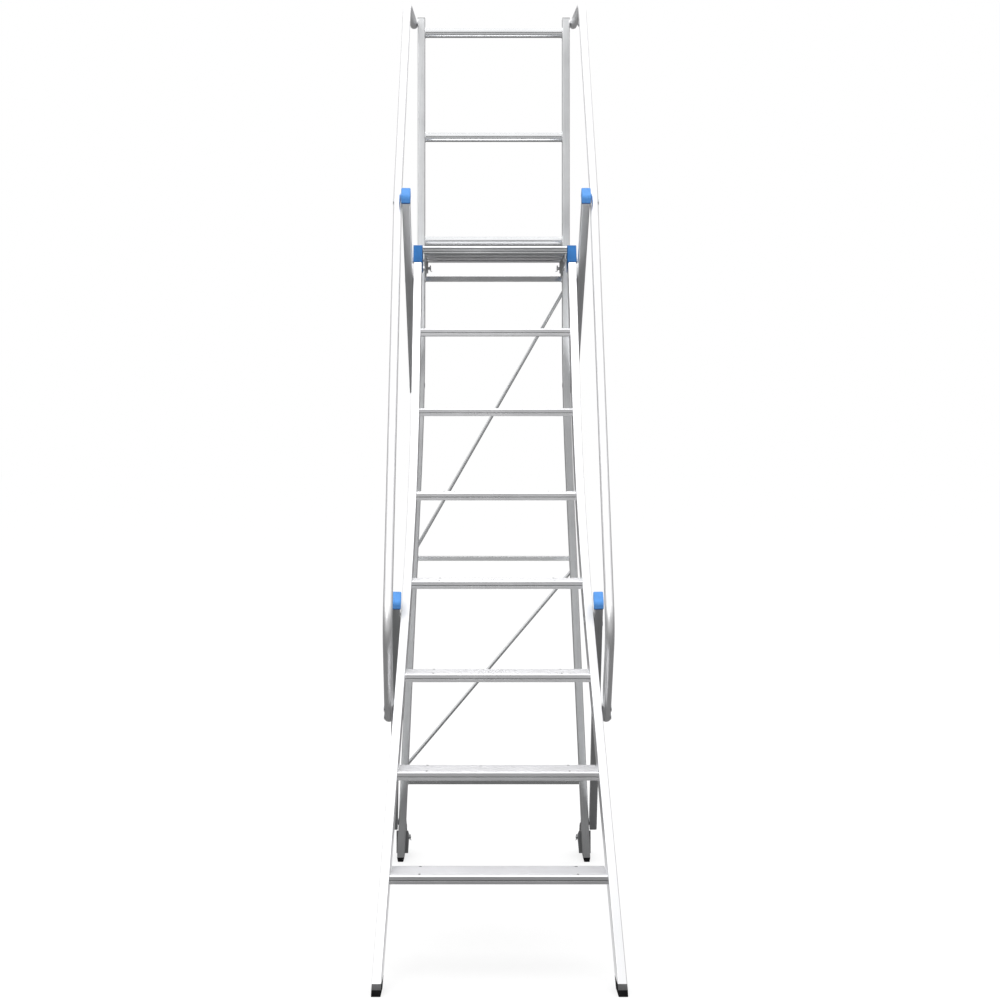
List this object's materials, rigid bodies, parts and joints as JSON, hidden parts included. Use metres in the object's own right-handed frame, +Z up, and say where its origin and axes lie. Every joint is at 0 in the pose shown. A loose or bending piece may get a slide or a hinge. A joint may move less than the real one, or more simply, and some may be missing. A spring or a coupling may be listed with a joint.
{
  "type": "podium step",
  "caption": "Free-standing aluminium platform ladder with a lifting platform, ribbed treads, handrails, a guard frame, side braces and tilt-and-roll castors.",
  "frame": {"origin": "middle of the bounding box at floor level", "axes": "+Z up, +Y from the flight towards the guard frame, +X to the right of a person who climbs"},
  "size_m": [0.7112, 1.4064, 2.858],
  "materials": {
    "frame_aluminium": "satin mill",
    "tread_aluminium": "ribbed mill",
    "blue_cap": "moulded blue",
    "pale_blue_cap": "moulded pale blue",
    "rubber_foot": "moulded black",
    "grey_cap": "moulded grey",
    "steel_fastener": "zinc plated",
    "castor_wheel": "moulded grey",
    "castor_tyre": "moulded dark grey"
  },
  "bodies": {
    "frame": {"front_stile_left": "frame_aluminium", "front_foot_left": "rubber_foot", "stile_cap_left": "blue_cap", "tread_brackets_left": "tread_aluminium", "rear_post_left": "frame_aluminium", "rear_foot_left": "rubber_foot", "post_cap_left": "grey_cap", "upper_brace_left": "frame_aluminium", "lower_brace_left": "frame_aluminium", "upper_brace_cap_left": "pale_blue_cap", "lower_brace_cap_left": "pale_blue_cap", "handrail_left": "frame_aluminium", "frame_bolts_left": "steel_fastener", "pivot_bracket_left": "tread_aluminium", "castor_fork_left": "steel_fastener", "front_stile_right": "frame_aluminium", "front_foot_right": "rubber_foot", "stile_cap_right": "blue_cap", "tread_brackets_right": "tread_aluminium", "rear_post_right": "frame_aluminium", "rear_foot_right": "rubber_foot", "post_cap_right": "grey_cap", "upper_brace_right": "frame_aluminium", "lower_brace_right": "frame_aluminium", "upper_brace_cap_right": "pale_blue_cap", "lower_brace_cap_right": "pale_blue_cap", "handrail_right": "frame_aluminium", "frame_bolts_right": "steel_fastener", "pivot_bracket_right": "tread_aluminium", "castor_fork_right": "steel_fastener", "tread_1": "tread_aluminium", "tread_2": "tread_aluminium", "tread_3": "tread_aluminium", "tread_4": "tread_aluminium", "tread_5": "tread_aluminium", "tread_6": "tread_aluminium", "tread_7": "tread_aluminium", "guard_rung_top": "frame_aluminium", "guard_rung_middle": "frame_aluminium", "guard_rung_toe": "frame_aluminium", "support_bar": "frame_aluminium", "leg_bar_middle": "frame_aluminium", "leg_bar_low": "frame_aluminium", "diagonal_upper": "frame_aluminium", "diagonal_lower": "frame_aluminium", "pivot_pins": "steel_fastener", "split_pins": "steel_fastener", "platform_studs": "steel_fastener", "castor_axles": "steel_fastener"},
    "platform": {"platform_rail_left": "tread_aluminium", "platform_rail_right": "tread_aluminium", "platform_nosing": "tread_aluminium", "plank_1": "tread_aluminium", "plank_2": "tread_aluminium", "plank_3": "tread_aluminium", "plank_4": "tread_aluminium"},
    "wheel_left": {"castor_wheel_left": "castor_wheel", "castor_tyre_left": "castor_tyre"},
    "wheel_right": {"castor_wheel_right": "castor_wheel", "castor_tyre_right": "castor_tyre"}
  },
  "joints": [
    {"name": "platform_lift", "type": "hinge", "parent": "frame", "child": "platform", "pos_m": [0, 0.51817, 2.005], "axis": [-1, 0, 0], "range_deg": [0, 80]},
    {"name": "castor_left_roll", "type": "hinge", "parent": "frame", "child": "wheel_left", "pos_m": [-0.31109, 0.65317, 0.058], "axis": [1, 0, 0], "continuous": true},
    {"name": "castor_right_roll", "type": "hinge", "parent": "frame", "child": "wheel_right", "pos_m": [0.31109, 0.65317, 0.058], "axis": [1, 0, 0], "continuous": true}
  ]
}
